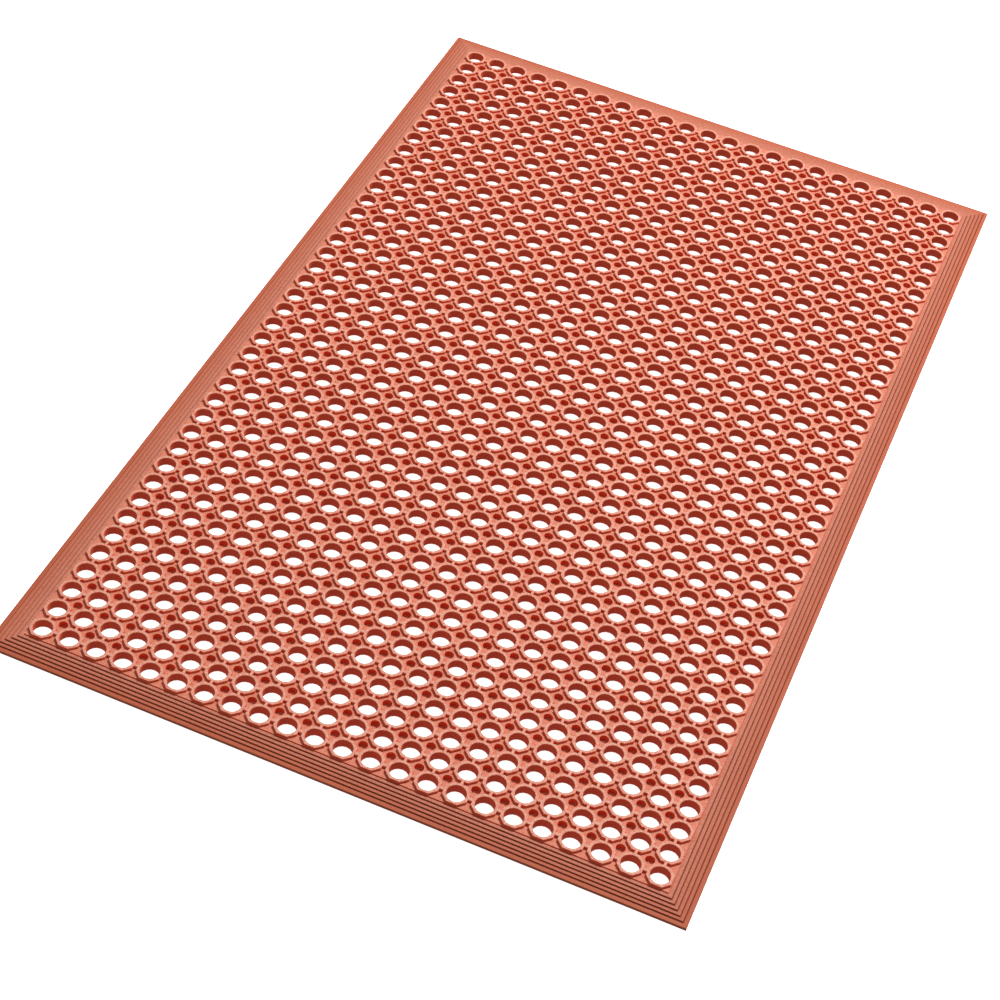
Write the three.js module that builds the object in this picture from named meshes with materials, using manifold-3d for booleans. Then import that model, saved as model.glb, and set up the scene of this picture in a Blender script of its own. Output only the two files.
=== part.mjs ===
// Anti-fatigue drainage mat, a single rubber moulding, built as its moulded zones.
//
// Millimetres, +Z up. The origin is the centre of the underside, where the mat meets the floor.
// X runs across the short side and Y along the long side, so the front edge is at -Y.
//
// The middle of the mat is a deck with a regular grid of drainage holes. A border runs round
// it and steps down to a low lip, so that a foot or a trolley wheel meets no tall edge.

import * as THREE from 'three';
import { mergeGeometries, mergeVertices } from 'three/addons/utils/BufferGeometryUtils.js';
import Module from 'manifold-3d';

const wasm = await Module();
wasm.setup();

// ---- Driving dimensions ----

const WIDTH = 914.4; // short side, 3 ft
const LENGTH = 1524; // long side, 5 ft
const THICKNESS = 12.7; // floor to the tops of the rings round the holes, 1/2 in

const COLUMNS = 23; // drainage holes across the short side
const ROWS = 40; // drainage holes along the long side
const HOLE_DIAMETER = 25;
const EDGE_TO_HOLE_CENTRE = 51.2; // the same on all four sides

const DECK_PANELS = ['deck_front', 'deck_middle_front', 'deck_middle_rear', 'deck_rear'];

const STEPS = 6; // small drops from the deck to the lip
const TREAD = 5.55; // width of each flat between two drops
const STEP_DROP = 0.75;
const WEB_LEVEL = 9; // height of the sheet that joins the rings, where the border begins
const LIP_WIDTH = 7.05; // the last flat, out to the edge

const JOIN_GAP = 0.3; // between neighbouring zones, which are one piece of rubber

const RUBBER = { color: 0xbf5f45, roughness: 0.62, metalness: 0 };
const BORDER_RUBBER = { color: 0xb9583f, roughness: 0.62, metalness: 0 };

// ---- Sizes that follow from them ----

const PITCH_X = (WIDTH - 2 * EDGE_TO_HOLE_CENTRE) / (COLUMNS - 1);
const PITCH_Y = (LENGTH - 2 * EDGE_TO_HOLE_CENTRE) / (ROWS - 1);
const BORDER_WIDTH = LIP_WIDTH + (STEPS - 1) * TREAD;
const DECK_WIDTH = WIDTH - 2 * BORDER_WIDTH;
const DECK_LENGTH = LENGTH - 2 * BORDER_WIDTH;
const ROWS_PER_PANEL = ROWS / DECK_PANELS.length;

// A square hole that is as open as the round one.
const SQUARE_HOLE = (HOLE_DIAMETER * Math.sqrt(Math.PI)) / 2;

// ---- Solids ----

/** A closed geometry with shared corners, as a solid that can be cut. */
function solidOf(geometry) {
  const bare = geometry.index ? geometry : mergeVertices(geometry);
  bare.deleteAttribute('normal');
  bare.deleteAttribute('uv');
  const merged = mergeVertices(bare, 1e-4);
  return new wasm.Manifold(new wasm.Mesh({
    numProp: 3,
    vertProperties: new Float32Array(merged.attributes.position.array),
    triVerts: new Uint32Array(merged.index.array),
  }));
}

/** The drawing geometry of a solid. */
function geometryOf(solid) {
  const mesh = solid.getMesh();
  const geometry = new THREE.BufferGeometry();
  geometry.setAttribute('position', new THREE.BufferAttribute(mesh.vertProperties, 3));
  geometry.setIndex(new THREE.BufferAttribute(mesh.triVerts, 1));
  geometry.computeVertexNormals();
  return geometry;
}

/** A block given by its middle and size. */
function block(x, y, z, width, length, height) {
  return new THREE.BoxGeometry(width, length, height).translate(x, y, z);
}

const columnX = (column) => (column - (COLUMNS - 1) / 2) * PITCH_X;
const rowY = (row) => (row - (ROWS - 1) / 2) * PITCH_Y;

/** Where the panel that starts at this row begins: half way between two rows, or at the border. */
function panelEdge(firstRow) {
  if (firstRow === 0) return -DECK_LENGTH / 2;
  if (firstRow === ROWS) return DECK_LENGTH / 2;
  return rowY(firstRow - 0.5);
}

/** One stretch of the deck: a plate with every drainage hole cut right through it. */
function deckPanel(firstRow) {
  const low = panelEdge(firstRow) + JOIN_GAP / 2;
  const high = panelEdge(firstRow + ROWS_PER_PANEL) - JOIN_GAP / 2;
  const width = DECK_WIDTH - JOIN_GAP;
  const plate = block(0, (low + high) / 2, THICKNESS / 2, width, high - low, THICKNESS);
  const cutters = [];
  for (let row = firstRow; row < firstRow + ROWS_PER_PANEL; row += 1) {
    for (let column = 0; column < COLUMNS; column += 1) {
      const height = 2 * THICKNESS;
      cutters.push(block(columnX(column), rowY(row), THICKNESS / 2, SQUARE_HOLE, SQUARE_HOLE, height));
    }
  }
  return geometryOf(solidOf(plate).subtract(solidOf(mergeGeometries(cutters))));
}

/** A slab of border between two distances out from the deck, mitred at both ends. */
function borderSlab(innerLength, near, far, height) {
  const half = (innerLength - JOIN_GAP) / 2;
  const plan = new THREE.Shape();
  plan.moveTo(-half - near, -near);
  plan.lineTo(-half - far, -far);
  plan.lineTo(half + far, -far);
  plan.lineTo(half + near, -near);
  return solidOf(new THREE.ExtrudeGeometry(plan, { depth: height, bevelEnabled: false }));
}

/** One side of the border, lying along X with its lip towards -Y: a slab for each flat. */
function borderSide(innerLength) {
  let near = JOIN_GAP / 2;
  let height = WEB_LEVEL;
  let side = null;
  for (let step = 1; step <= STEPS; step += 1) {
    const far = step < STEPS ? step * TREAD : BORDER_WIDTH;
    height -= STEP_DROP;
    const slab = borderSlab(innerLength, near, far, height);
    side = side ? side.add(slab) : slab;
    near = far;
  }
  return geometryOf(side);
}

// ---- Assembly ----

const mat = new THREE.Group();

function addZone(parent, name, geometry, finish) {
  const mesh = new THREE.Mesh(geometry, new THREE.MeshStandardMaterial(finish));
  mesh.name = name;
  parent.add(mesh);
}

DECK_PANELS.forEach((name, index) => {
  addZone(mat, name, deckPanel(index * ROWS_PER_PANEL), RUBBER);
});

// Each side is drawn as the front one, then turned about Z and moved out to the deck's edge.
const BORDER_SIDES = [
  { name: 'border_front', turn: 0, innerLength: DECK_WIDTH, out: DECK_LENGTH / 2 },
  { name: 'border_right', turn: 90, innerLength: DECK_LENGTH, out: DECK_WIDTH / 2 },
  { name: 'border_rear', turn: 180, innerLength: DECK_WIDTH, out: DECK_LENGTH / 2 },
  { name: 'border_left', turn: 270, innerLength: DECK_LENGTH, out: DECK_WIDTH / 2 },
];

for (const side of BORDER_SIDES) {
  const turned = new THREE.Group();
  turned.rotation.z = THREE.MathUtils.degToRad(side.turn);
  const geometry = borderSide(side.innerLength).translate(0, -side.out, 0);
  addZone(turned, side.name, geometry, BORDER_RUBBER);
  mat.add(turned);
}

export default mat;
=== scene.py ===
# %% [markdown]
# # A moulded rubber drainage mat
#
# The mat is one piece of terracotta rubber, 3 ft by 5 ft and half an inch thick. It has a field
# of round drainage holes, each with a raised ring round it, and a border that steps down to a
# thin lip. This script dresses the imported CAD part: it loads it as a fixed frame, makes a
# detailed mesh for each zone of the mat, gives each one a rubber finish, and sets up the floor,
# the lights and the camera.

# %% Tools

import math

import bmesh
import bpy
from mathutils import Matrix, Vector


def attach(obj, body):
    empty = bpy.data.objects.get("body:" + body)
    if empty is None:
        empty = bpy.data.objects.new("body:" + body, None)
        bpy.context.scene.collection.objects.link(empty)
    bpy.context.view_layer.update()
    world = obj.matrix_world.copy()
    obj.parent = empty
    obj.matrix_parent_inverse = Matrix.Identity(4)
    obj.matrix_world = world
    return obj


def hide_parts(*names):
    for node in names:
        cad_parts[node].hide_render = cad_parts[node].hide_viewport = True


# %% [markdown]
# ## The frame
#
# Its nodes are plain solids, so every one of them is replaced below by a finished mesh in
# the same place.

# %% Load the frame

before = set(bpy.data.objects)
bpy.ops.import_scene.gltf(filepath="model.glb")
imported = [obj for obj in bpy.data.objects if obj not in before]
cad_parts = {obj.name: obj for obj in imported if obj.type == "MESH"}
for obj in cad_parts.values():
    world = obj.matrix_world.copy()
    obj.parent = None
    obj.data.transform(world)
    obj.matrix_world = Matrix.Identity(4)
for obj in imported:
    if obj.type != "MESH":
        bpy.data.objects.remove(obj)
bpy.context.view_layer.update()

print("nodes:", ", ".join(sorted(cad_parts)))

# %% [markdown]
# ## Sizes
#
# Everything is in metres, and `MM` keeps the numbers readable. The pitch of the holes follows
# from the size of the mat, so the pattern always ends at the same distance from each side.

# %% The mat's sizes

MM = 0.001

WIDTH = 914.4 * MM
LENGTH = 1524 * MM
COLUMNS = 23
ROWS = 40
EDGE_TO_HOLE_CENTRE = 51.2 * MM

FLOOR = 0.0
RING_TOP = 12.7 * MM
WEB_TOP = 9 * MM
WEB_UNDER = 4.5 * MM
CUP_FLOOR = 1.6 * MM

TREAD = 5.55 * MM
TREADS = 5
LIP_WIDTH = 7.05 * MM
STEP_DROP = 0.75 * MM

PITCH_X = (WIDTH - 2 * EDGE_TO_HOLE_CENTRE) / (COLUMNS - 1)
PITCH_Y = (LENGTH - 2 * EDGE_TO_HOLE_CENTRE) / (ROWS - 1)
BORDER_WIDTH = LIP_WIDTH + TREADS * TREAD
DECK_REACH = EDGE_TO_HOLE_CENTRE - BORDER_WIDTH

print(f"pitch {PITCH_X / MM:.2f} by {PITCH_Y / MM:.2f} mm, border {BORDER_WIDTH / MM:.2f} mm")

# %% [markdown]
# ## One quarter of a cell
#
# Each hole stands in a ring whose outside is an octagon. Narrow bridges, as tall as the ring,
# join it to its four neighbours, and the low web between them holds a small blind cup wherever
# four cells meet. Underneath, rings and cups reach the floor and the web is hollow.
#
# The cell is the same in all four quarters, so only one is drawn. A boolean could cut the holes
# from a slab, but over nine hundred of them would leave a tangle of thin triangles. Here the plan
# is drawn once as six flat zones, and extruding a zone up or down gives it clean walls.

# %% Sizes of the cell

HOLE_RADIUS = 12.5 * MM
RING_APOTHEM = 16.05 * MM
RING_FLAT = 6.9 * MM
BRIDGE_X = 2.45 * MM
BRIDGE_Y = 1.9 * MM
CUP_RADIUS = 6.2 * MM
STUD_RADIUS = 8.2 * MM
HOLE_STEPS = 4
CUP_STEPS = 3


def arc(centre, radius, start, end, steps):
    """Points on an arc in plan, from one angle to another in degrees."""
    turns = [math.radians(start + (end - start) * i / steps) for i in range(steps + 1)]
    return [(centre[0] + radius * math.cos(t), centre[1] + radius * math.sin(t)) for t in turns]


def cell_plan(a, b, cup):
    """The zones of a quarter cell, as outlines in plan, from the hole's centre out to (a, b)."""
    hole = arc((0, 0), HOLE_RADIUS, 90, 0, HOLE_STEPS)
    side = [(RING_APOTHEM, 0), (RING_APOTHEM, BRIDGE_X), (RING_APOTHEM, RING_FLAT)]
    back = [(RING_FLAT, RING_APOTHEM), (BRIDGE_Y, RING_APOTHEM), (0, RING_APOTHEM)]
    end_x = [(a, 0), (a, BRIDGE_X)]
    end_y = [(BRIDGE_Y, b), (0, b)]
    stud = arc((a, b), STUD_RADIUS, 270, 180, CUP_STEPS)
    well = arc((a, b), CUP_RADIUS, 270, 180, CUP_STEPS)
    web_corner = stud if cup else [(a, b)]
    plan = {
        "ring": side + back + hole,
        "bridge_x": [side[0], end_x[0], end_x[1], side[1]],
        "bridge_y": [back[2], back[1], end_y[0], end_y[1]],
        "web": [end_x[1]] + web_corner + [end_y[0], back[1], back[0], side[2], side[1]],
    }
    if cup:
        plan["collar"] = well + stud[::-1]
        plan["cup"] = [(a, b)] + well[::-1]
    return plan


# %% [markdown]
# ## Giving the plan its heights
#
# The plan is laid down twice, as the top and as the underside of the web. Corners that zones
# share are one vertex from the start, so an extruded zone stays joined to its neighbours. Where
# cells meet, the walls are taken away again, because the rubber carries on through there.

# %% Raise and sink the zones

TOUCH = 0.01 * MM


def lift(bm, zones, level):
    """Extrude zones, bring them to a level, and take away the faces that they started from."""
    made = bmesh.ops.extrude_face_region(bm, geom=zones)["geom"]
    for v in (g for g in made if isinstance(g, bmesh.types.BMVert)):
        v.co.z = level
    bmesh.ops.delete(bm, geom=[z for z in zones if z.is_valid], context="FACES")


def on_rim(v):
    """Whether a vertex is on the wall of the hole."""
    return abs(math.hypot(v.co.x, v.co.y) - HOLE_RADIUS) < TOUCH


def on_plane(face, axis, place):
    """Whether the whole of a face lies in a plane."""
    return all(abs(v.co[axis] - place) < TOUCH for v in face.verts)


def quarter_cell(a, b, bridge_x, bridge_y):
    """A quarter cell as a mesh, open where the next quarters join on."""
    cup = bridge_x and bridge_y
    bm = bmesh.new()
    corners = {}

    def corner(point, z):
        key = (round(point[0] / TOUCH), round(point[1] / TOUCH), z)
        if key not in corners:
            corners[key] = bm.verts.new((*point, z))
        return corners[key]

    plan = cell_plan(a, b, cup)
    top = {n: bm.faces.new([corner(p, WEB_TOP) for p in line]) for n, line in plan.items()}
    under = {n: bm.faces.new([corner(p, WEB_UNDER) for p in line]) for n, line in plan.items()}

    bridges = (("bridge_x", bridge_x), ("bridge_y", bridge_y))
    raised = [top["ring"]] + [top[n] for n, on in bridges if on]
    lift(bm, raised, RING_TOP)
    lift(bm, [under["ring"]], FLOOR)
    if cup:
        lift(bm, [top["cup"]], CUP_FLOOR)
        lift(bm, [under["collar"], under["cup"]], FLOOR)

    low = WEB_UNDER + TOUCH
    inner_rim = [f for f in bm.faces if all(on_rim(v) and v.co.z < low for v in f.verts)]
    planes = ((0, 0), (0, a), (1, 0), (1, b))
    joins = [f for f in bm.faces for plane in planes if on_plane(f, *plane)]
    bmesh.ops.delete(bm, geom=list(set(inner_rim + joins)), context="FACES")
    for v in bm.verts:
        if on_rim(v) and abs(v.co.z - WEB_TOP) < TOUCH:
            v.co.z = FLOOR
    bmesh.ops.remove_doubles(bm, verts=bm.verts, dist=TOUCH)

    mesh = bpy.data.meshes.new("quarter")
    bm.to_mesh(mesh)
    bm.free()
    return mesh


print("faces in a quarter cell:", len(quarter_cell(PITCH_X / 2, PITCH_Y / 2, True, True).polygons))

# %% [markdown]
# ## Laying out the deck
#
# The deck is made in four panels, to keep each mesh light. They meet on the centre line of a
# row of holes, where the cut crosses solid rubber only. Along the sides of the mat a quarter cell
# ends at the border, without its outer bridge or its cup. The quarters are turned into
# the other three by mirroring, set side by side, and merged where they touch.

# %% Put quarter cells together

PANEL_ENDS = [0, 21, 41, 61, 80]


def quarters():
    """Every quarter cell that the deck needs, by its mirroring and its sides on the border."""
    made = {}
    for at_side in (False, True):
        for at_end in (False, True):
            a = DECK_REACH if at_side else PITCH_X / 2
            b = DECK_REACH if at_end else PITCH_Y / 2
            base = quarter_cell(a, b, not at_side, not at_end)
            for sx in (-1, 1):
                for sy in (-1, 1):
                    mesh = base.copy()
                    mesh.transform(Matrix.Diagonal((sx, sy, 1, 1)))
                    made[sx, sy, at_side, at_end] = mesh
            bpy.data.meshes.remove(base)
    return made


def lay_panel(kinds, first, last):
    """The surface of a panel, from one half row of cells to another."""
    bm = bmesh.new()
    for half_row in range(first, last):
        row, sy = half_row // 2, 1 if half_row % 2 else -1
        y = (row - (ROWS - 1) / 2) * PITCH_Y
        at_end = half_row in (0, 2 * ROWS - 1)
        for half_column in range(2 * COLUMNS):
            column, sx = half_column // 2, 1 if half_column % 2 else -1
            x = (column - (COLUMNS - 1) / 2) * PITCH_X
            at_side = half_column in (0, 2 * COLUMNS - 1)
            piece = kinds[sx, sy, at_side, at_end].copy()
            piece.transform(Matrix.Translation((x, y, 0)))
            bm.from_mesh(piece)
            bpy.data.meshes.remove(piece)
    bmesh.ops.remove_doubles(bm, verts=bm.verts, dist=TOUCH)
    return bm


# %% [markdown]
# ## Closing and softening a panel
#
# At the border the web's edge is drawn down to its underside. Each place where the panel was cut
# on a row of holes is then one flat loop, and is filled. Moulded rubber has no knife edges, so
# the tops of rings and bridges get a narrow bevel, which is what catches the light.

# %% Close a panel

RIM_BEVEL = 0.45 * MM
RIM_TURN = 1  # radians, so the flat tops of the rings are passed over
HALF_DECK = Vector((WIDTH / 2 - BORDER_WIDTH, LENGTH / 2 - BORDER_WIDTH))


def level(edge, z):
    """Whether both ends of an edge are at a height."""
    return all(abs(v.co.z - z) < TOUCH for v in edge.verts)


def close_panel(bm):
    """Give a panel its edge walls and fill its cut ends."""
    edge = [
        e
        for e in bm.edges
        if e.is_boundary
        and level(e, WEB_TOP)
        and any(all(abs(abs(v.co[i]) - HALF_DECK[i]) < TOUCH for v in e.verts) for i in (0, 1))
    ]
    drawn = bmesh.ops.extrude_edge_only(bm, edges=edge)["geom"]
    for v in (g for g in drawn if isinstance(g, bmesh.types.BMVert)):
        v.co.z = WEB_UNDER
    bmesh.ops.remove_doubles(bm, verts=bm.verts, dist=TOUCH)
    cut = [e for e in bm.edges if e.is_boundary]
    ends = bmesh.ops.holes_fill(bm, edges=cut, sides=0)["faces"]
    bmesh.ops.recalc_face_normals(bm, faces=bm.faces)
    return ends


def soften_rims(bm, ends):
    """Bevel the top edges of rings and bridges, but not where the panel was cut."""
    cut = {e for f in ends for e in f.edges}
    tops = [e for e in bm.edges if level(e, RING_TOP) and e not in cut]
    rims = [e for e in tops if e.calc_face_angle(0) > RIM_TURN]
    bmesh.ops.bevel(
        bm,
        geom=rims,
        offset=RIM_BEVEL,
        offset_type="OFFSET",
        affect="EDGES",
        segments=1,
        profile=0.5,
        material=-1,
        clamp_overlap=True,
    )


# %% [markdown]
# ## From mesh to piece
#
# A finished piece is smooth where it curves and crisp where it turns sharply. It rides on the
# part's only body and stands for its CAD nodes.

# %% Finish a piece

SHARP = math.radians(35)


def finish_piece(bm, name, nodes):
    """Turn a bmesh into a piece of the mat."""
    open_edges = sum(1 for e in bm.edges if len(e.link_faces) != 2)
    assert open_edges == 0 and bm.calc_volume(signed=True) > 0, f"{name} is open or inside out"
    for face in bm.faces:
        face.smooth = True
    mesh = bpy.data.meshes.new(name)
    bm.to_mesh(mesh)
    bm.free()
    mesh.set_sharp_from_angle(angle=SHARP)
    piece = bpy.data.objects.new(name, mesh)
    bpy.context.scene.collection.objects.link(piece)
    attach(piece, "root")
    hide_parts(*nodes)
    mesh.calc_loop_triangles()
    print(f"{name}: {len(mesh.loop_triangles)} triangles, closed, faces outwards")
    return piece


# %% [markdown]
# ## The four panels
#
# Quarter cells are laid row by row, and each panel is closed, softened and finished in turn. An
# array of whole cells would do the middle of the mat, but not its edges, where cells are cut off.

# %% Make the deck

DECK_NODES = ["deck_front", "deck_middle_front", "deck_middle_rear", "deck_rear"]

kinds = quarters()
deck = []
for node, first, last in zip(DECK_NODES, PANEL_ENDS, PANEL_ENDS[1:]):
    panel = lay_panel(kinds, first, last)
    soften_rims(panel, close_panel(panel))
    deck.append(finish_piece(panel, f"{node}_rubber", [node]))

# %% [markdown]
# ## The stepped border
#
# The border falls from the deck to a thin lip in small steps, so that nobody trips on it. Each
# tread is a little higher at its outer side, which gives every step a crisp crest, and a fine
# groove runs along its foot. The lip itself slopes down and outwards. The four sides meet in
# mitres, as a picture frame's do, so a rectangle is extruded from one point of the section to the
# next and grows as it goes out. That makes all four mitres at once, where four separate bars would
# have to be cut to match.

# %% Make the border

TREAD_DIP = 0.3 * MM
TREAD_RISE = 0.35 * MM
GROOVE_DEPTH = 0.8 * MM
GROOVE_FLOOR = 0.8 * MM
GROOVE_WIDTH = 1.7 * MM
CREST_BEVEL = 0.3 * MM
LIP_FALL = 0.4 * MM


def border_section():
    """The border's section as (distance out from the deck, height), and which points are crests."""
    section = [(0, FLOOR)]
    crests = []
    for step in range(TREADS + 1):
        height = WEB_TOP - STEP_DROP * (step + 1)
        start = step * TREAD
        width = TREAD if step < TREADS else LIP_WIDTH
        foot = height - TREAD_DIP
        section.append((start + (GROOVE_FLOOR if step else 0), foot - GROOVE_DEPTH))
        section.append((start + GROOVE_WIDTH, foot))
        crests.append(len(section))
        section.append((start + width, height + (TREAD_RISE if step < TREADS else -LIP_FALL)))
    section.append((BORDER_WIDTH, FLOOR))
    return section, crests


def border_mesh():
    """Extrude a rectangle round the section and close it."""
    section, crests = border_section()
    bm = bmesh.new()
    bmesh.ops.create_grid(bm, x_segments=1, y_segments=1, size=1)
    signs = {v: (math.copysign(1, v.co.x), math.copysign(1, v.co.y)) for v in bm.verts}
    bmesh.ops.delete(bm, geom=list(bm.faces), context="FACES_ONLY")

    def place(corner_signs, out, height):
        for v, (sx, sy) in corner_signs.items():
            v.co = (sx * (HALF_DECK.x + out), sy * (HALF_DECK.y + out), height)

    place(signs, *section[0])
    loop = list(bm.edges)
    crest_edges = []
    for i, point in enumerate(section[1:] + section[:1], 1):
        made = bmesh.ops.extrude_edge_only(bm, edges=loop)["geom"]
        new = [g for g in made if isinstance(g, bmesh.types.BMVert)]
        signs = {v: (math.copysign(1, v.co.x), math.copysign(1, v.co.y)) for v in new}
        place(signs, *point)
        edges = [g for g in made if isinstance(g, bmesh.types.BMEdge)]
        loop = [e for e in edges if all(v in signs for v in e.verts)]
        if i in crests:
            crest_edges += loop
    bmesh.ops.bevel(
        bm,
        geom=crest_edges,
        offset=CREST_BEVEL,
        offset_type="OFFSET",
        affect="EDGES",
        segments=2,
        profile=0.5,
        material=-1,
    )
    bmesh.ops.remove_doubles(bm, verts=bm.verts, dist=TOUCH)
    bmesh.ops.recalc_face_normals(bm, faces=bm.faces)
    return bm


BORDER_NODES = ["border_front", "border_right", "border_rear", "border_left"]
border = finish_piece(border_mesh(), "border_steps", BORDER_NODES)

# %% [markdown]
# ## Arithmetic on shader sockets
#
# A material is a graph of nodes, and long graphs are easier to read as sums. This small class
# wraps a socket, so that `1 - mask` adds the Math node for it. Any other kind of node comes from
# its one method.

# %% A socket that can be added and multiplied


class Socket:
    """A shader socket on which Python arithmetic works."""

    def __init__(self, tree, socket=None):
        self.tree = tree
        self.socket = socket

    def node(self, kind, settings=None, values=None, output=0):
        """Add a node: its settings first, then the values or links of its sockets."""
        made = self.tree.nodes.new(kind)
        for name, value in (settings or {}).items():
            setattr(made, name, value)
        for name, value in (values or {}).items():
            if isinstance(value, Socket):
                self.tree.links.new(value.socket, made.inputs[name])
            else:
                made.inputs[name].default_value = value
        return Socket(self.tree, made.outputs[output]) if made.outputs else None

    def maths(self, operation, first, second):
        return self.node("ShaderNodeMath", {"operation": operation}, {0: first, 1: second})

    def __add__(self, other):
        return self.maths("ADD", self, other)

    def __sub__(self, other):
        return self.maths("SUBTRACT", self, other)

    def __rsub__(self, other):
        return self.maths("SUBTRACT", other, self)

    def __mul__(self, other):
        return self.maths("MULTIPLY", self, other)

    __radd__ = __add__
    __rmul__ = __mul__


# %% [markdown]
# ## Terracotta rubber
#
# Pressed rubber is matt, with a slightly uneven colour where the compound flowed, and a fine
# grain from the mould. Whatever faces up is a little paler, because dust settles there. A single
# flat colour would look like plastic, and an image laid over it would show its edges, so the
# colour is mixed from noise instead. It is read from Object coordinates, in metres: a noise scale
# of 700 gives a grain of about a millimetre and a half, and the four panels match at their joins.

# %% Mix the rubber

DECK_TONES = ((0.46, 0.080, 0.031, 1), (0.64, 0.156, 0.071, 1))
# Painted shade: the deck's walls take a deeper, redder colour than its upward faces, standing in
# for the shade on them and the red light bounced between them.
DECK_WALL_SHADE = ((0.64, 0.083, 0.032, 1), (0.80, 0.128, 0.053, 1))
BORDER_TONES = ((0.37, 0.078, 0.034, 1), (0.47, 0.112, 0.052, 1))
WORN = (0.66, 0.36, 0.27, 1)
# Painted shade: a near-black red laid into the border's grooves, standing in for the shade in them.
GROOVE_SHADE = (0.10, 0.018, 0.009, 1)
GROOVE_SHADE_COVER = 0.45

FLOW_SCALE = 9
FLOW_GAIN = 1.6
SPECKLE_SCALE = 420
SPECKLE_DETAIL = 4
SPECKLE_GAIN = 2.6
SPECKLE_SHARE = 0.65
GRAIN_SCALE = 700
GRAIN_DETAIL = 2
FLECK_CONTRAST = 1.3
FLECK_BASE = 0.35
GRAIN_RELIEF = 0.6
SPECKLE_RELIEF = 0.4
UPWARD = (0.6, 0.95)
BUMP_STRENGTH = 0.6
BUMP_DEPTH = 0.2 * MM
ROUGHNESS = 0.66
RUBBED_SMOOTHER = 0.1
SPECKLE_ROUGHER = 0.08
SHEEN = 0.3


def noise(coords, scale, detail=3.0, roughness=0.55):
    """Noise from 0 to 1 with features about 1 / scale metres across."""
    values = {"Vector": coords, "Scale": scale, "Detail": detail, "Roughness": roughness}
    return coords.node("ShaderNodeTexNoise", {"noise_dimensions": "3D"}, values, "Fac")


def mix(factor, first, second):
    """A blend of two colours."""
    settings = {"data_type": "RGBA"}
    return factor.node("ShaderNodeMix", settings, {"Factor": factor, 6: first, 7: second}, 2)


def ramp(value, low, high):
    """A value brought to 0 at its low end and 1 at its high end, and kept between them."""
    ends = {"Value": value, "From Min": low, "From Max": high}
    return value.node("ShaderNodeMapRange", {"clamp": True}, ends)


def contrast(value, gain):
    """Spread values out from their middle, 0.5."""
    return (value - 0.5) * gain + 0.5


def groove_mask(coords):
    """1 in the grooves between the border's treads, where the painted shade goes, by the distance
    out from the deck.
    """
    plan = [coords.node("ShaderNodeSeparateXYZ", None, {"Vector": coords}, axis) for axis in "XY"]
    past = [axis.maths("ABSOLUTE", axis, 0) - half for axis, half in zip(plan, HALF_DECK)]
    out = coords.maths("MAXIMUM", *past)
    place = coords.maths("FRACT", out * (1 / TREAD), 0)
    grooved = coords.maths("LESS_THAN", place, GROOVE_WIDTH / TREAD)
    after_first = coords.maths("GREATER_THAN", out, TREAD / 2)
    before_last = coords.maths("LESS_THAN", out, TREADS * TREAD + GROOVE_WIDTH)
    return grooved * after_first * before_last


def rubber(name, tones, walls, worn_from, worn_to, dusty, wear, shade_grooves=False):
    """Moulded rubber: dusty wherever it faces up, worn paler between two heights, with painted
    shade in the wall colour and, if asked, in the grooves.
    """
    material = bpy.data.materials.new(name)
    material.use_nodes = True
    material.node_tree.nodes.clear()
    start = Socket(material.node_tree)
    coords = start.node("ShaderNodeTexCoord", output="Object")
    flow = contrast(noise(coords, FLOW_SCALE), FLOW_GAIN)
    speckle = contrast(noise(coords, SPECKLE_SCALE, detail=SPECKLE_DETAIL), SPECKLE_GAIN)
    grain = noise(coords, GRAIN_SCALE, detail=GRAIN_DETAIL)
    height = start.node("ShaderNodeSeparateXYZ", None, {"Vector": coords}, "Z")
    normal = start.node("ShaderNodeTexCoord", output="Normal")
    upright = start.node("ShaderNodeSeparateXYZ", None, {"Vector": normal}, "Z")
    upward = ramp(upright, *UPWARD)
    flecks = speckle * FLECK_CONTRAST + FLECK_BASE
    rubbed = upward * (dusty + wear * ramp(height, worn_from, worn_to)) * flecks
    blend = flow * (1 - SPECKLE_SHARE) + speckle * SPECKLE_SHARE
    # Painted shade: faces that don't look up take the wall colour.
    body = mix(upward, mix(blend, *walls), mix(blend, *tones))
    colour = mix(rubbed, body, WORN)
    # Painted shade in the border's grooves, laid over the colour by the groove mask.
    if shade_grooves:
        colour = mix(groove_mask(coords) * GROOVE_SHADE_COVER, colour, GROOVE_SHADE)
    relief = grain * GRAIN_RELIEF + speckle * SPECKLE_RELIEF
    shape = {"Strength": BUMP_STRENGTH, "Distance": BUMP_DEPTH, "Height": relief}
    finish = {
        "Base Color": colour,
        "Roughness": ROUGHNESS - rubbed * RUBBED_SMOOTHER + speckle * SPECKLE_ROUGHER,
        "Normal": start.node("ShaderNodeBump", None, shape, "Normal"),
        "Specular IOR Level": SHEEN,
    }
    shader = start.node("ShaderNodeBsdfPrincipled", None, finish, "BSDF")
    start.node("ShaderNodeOutputMaterial", None, {"Surface": shader})
    return material


# %% [markdown]
# ## Two finishes
#
# The deck is rubbed palest at the tops of its rings. The border is swept by passing feet, so it
# holds no dust and is rubbed more the higher its tread. Its narrow grooves are painted darker,
# which is painted shade standing in for their depth. The walls of the deck are painted a deeper,
# redder colour than its upward faces, which is painted shade standing in for the shade on them
# and the red light bounced between them. One function mixes both finishes, so that they stay the
# same rubber.

# %% Finish the deck and the border

DECK_WORN = (11.5 * MM, 12.6 * MM)
BORDER_WORN = (4.4 * MM, 8.2 * MM)
DECK_DUST = 0.25
DECK_WEAR = 0.35
BORDER_DUST = 0.0
BORDER_WEAR = 0.22

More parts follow.
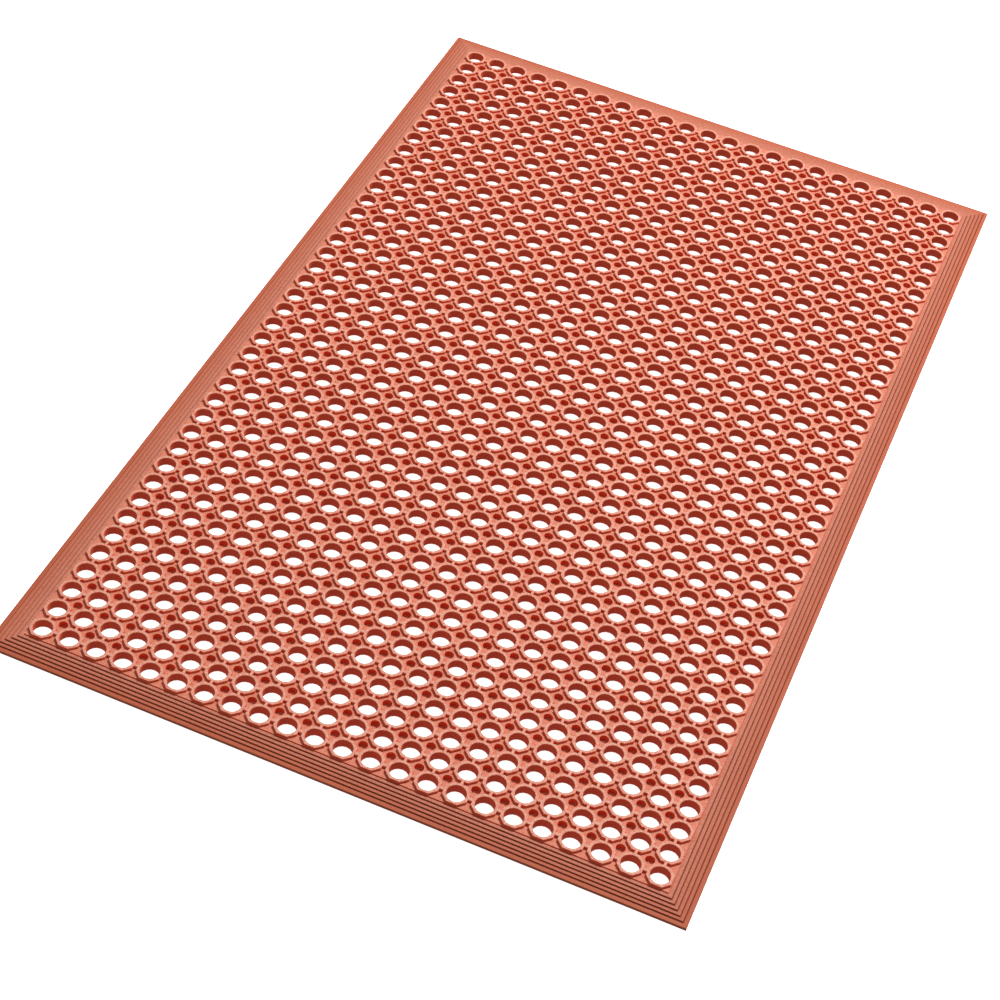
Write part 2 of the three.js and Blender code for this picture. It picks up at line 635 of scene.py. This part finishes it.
deck_rubber = rubber("ring_deck_rubber", DECK_TONES, DECK_WALL_SHADE, *DECK_WORN, DECK_DUST, DECK_WEAR)
border_rubber = rubber(
    "stepped_border_rubber",
    BORDER_TONES,
    BORDER_TONES,
    *BORDER_WORN,
    BORDER_DUST,
    BORDER_WEAR,
    shade_grooves=True,
)
for panel in deck:
    panel.data.materials.append(deck_rubber)
border.data.materials.append(border_rubber)
print("materials:", deck_rubber.name, border_rubber.name)

# %% [markdown]
# ## Floor and backdrop
#
# The mat lies on a plain white light table, which glows evenly and so stays white through the
# holes, where a plain floor would be in shade. A wide round backdrop carries the same white up
# behind it for low views. Their glow is kept off the rubber, or the thin lip would melt into it.

# %% Floor and backdrop

FLOOR_SIZE = 40.0
BACKDROP_RADIUS = 19.0
BACKDROP_HEIGHT = 16.0
FLOOR_GAP = 0.2 * MM
BACKDROP_SIDES = 64
GLOW = 0.9
FLOOR_WHITE = (0.95, 0.95, 0.95, 1)
FLOOR_ROUGHNESS = 0.8

paint = bpy.data.materials.new("floor_paint")
paint.use_nodes = True
surface = paint.node_tree.nodes["Principled BSDF"].inputs
surface["Base Color"].default_value = FLOOR_WHITE
surface["Roughness"].default_value = FLOOR_ROUGHNESS
surface["Emission Color"].default_value = (1, 1, 1, 1)
surface["Emission Strength"].default_value = GLOW


def stage_piece(bm, name):
    """Turn a bmesh into a painted piece of the stage, whose glow is kept off the rubber."""
    mesh = bpy.data.meshes.new(name)
    bm.to_mesh(mesh)
    bm.free()
    mesh.materials.append(paint)
    piece = bpy.data.objects.new(name, mesh)
    bpy.context.scene.collection.objects.link(piece)
    piece.visible_diffuse = False
    piece.visible_glossy = False
    print(f"{name}: {max(piece.dimensions):.0f} m across")


bm = bmesh.new()
bmesh.ops.create_grid(bm, x_segments=1, y_segments=1, size=FLOOR_SIZE / 2)
bmesh.ops.translate(bm, verts=bm.verts, vec=(0, 0, -FLOOR_GAP))
stage_piece(bm, "studio_floor")

bm = bmesh.new()
bmesh.ops.create_cone(
    bm,
    cap_ends=False,
    segments=BACKDROP_SIDES,
    radius1=BACKDROP_RADIUS,
    radius2=BACKDROP_RADIUS,
    depth=BACKDROP_HEIGHT,
)
stage_piece(bm, "studio_backdrop")

# %% [markdown]
# ## Lights
#
# A high key light from the right rear gives each ring a shaded side towards the front left. A
# wide, weak fill from the other side and a pale world keep the shaded walls from going black. A
# sun lamp would be simpler, but its shadows are too hard for a studio.

# %% Lights

KEY_FROM = Vector((1.3, 2.4, 4.8))
KEY_SIZE = 1.2
KEY_POWER = 370
FILL_FROM = Vector((-2.5, -2.5, 3.5))
FILL_SIZE = 3.0
FILL_POWER = 15
SKY = 0.3


def softbox(name, place, size, power):
    """A square studio light that faces the middle of the mat."""
    light = bpy.data.lights.new(name, "AREA")
    light.shape = "SQUARE"
    light.size = size
    light.energy = power
    lamp = bpy.data.objects.new(name, light)
    lamp.location = place
    lamp.rotation_euler = (-place).to_track_quat("-Z", "Y").to_euler()
    bpy.context.scene.collection.objects.link(lamp)
    print(f"{name}: {power} W from {place.length:.1f} m away")


softbox("key_light", KEY_FROM, KEY_SIZE, KEY_POWER)
softbox("fill_light", FILL_FROM, FILL_SIZE, FILL_POWER)
world = bpy.data.worlds.new("studio")
world.use_nodes = True
sky = world.node_tree.nodes["Background"].inputs
sky["Color"].default_value = (1, 1, 1, 1)
sky["Strength"].default_value = SKY
bpy.context.scene.world = world
bpy.context.scene.view_settings.view_transform = "Standard"

# %% [markdown]
# ## Camera
#
# A longish lens looks down on the mat from the front right, with the camera a little tilted, so
# the mat lies across the frame from corner to corner. A small shift of the lens does the rest of
# the framing, where turning the camera would change the perspective.

# %% Camera

SENSOR = 36
LENS = 86.65
SHIFT = (0.03, -0.03)
FAR_CLIP = 50
CAMERA_PLACE = (0.5902, -2.4523, 2.2555)
CAMERA_TURN = (45.907, -6.766, 22.254)

camera_data = bpy.data.cameras.new("camera")
camera_data.sensor_width = SENSOR
camera_data.lens = LENS
camera_data.shift_x, camera_data.shift_y = SHIFT
camera_data.clip_end = FAR_CLIP
camera = bpy.data.objects.new("camera", camera_data)
camera.location = CAMERA_PLACE
camera.rotation_euler = [math.radians(turn) for turn in CAMERA_TURN]
bpy.context.scene.collection.objects.link(camera)
bpy.context.scene.camera = camera
print(f"camera: {LENS} mm lens, {Vector(CAMERA_PLACE).length:.2f} m from the middle of the mat")
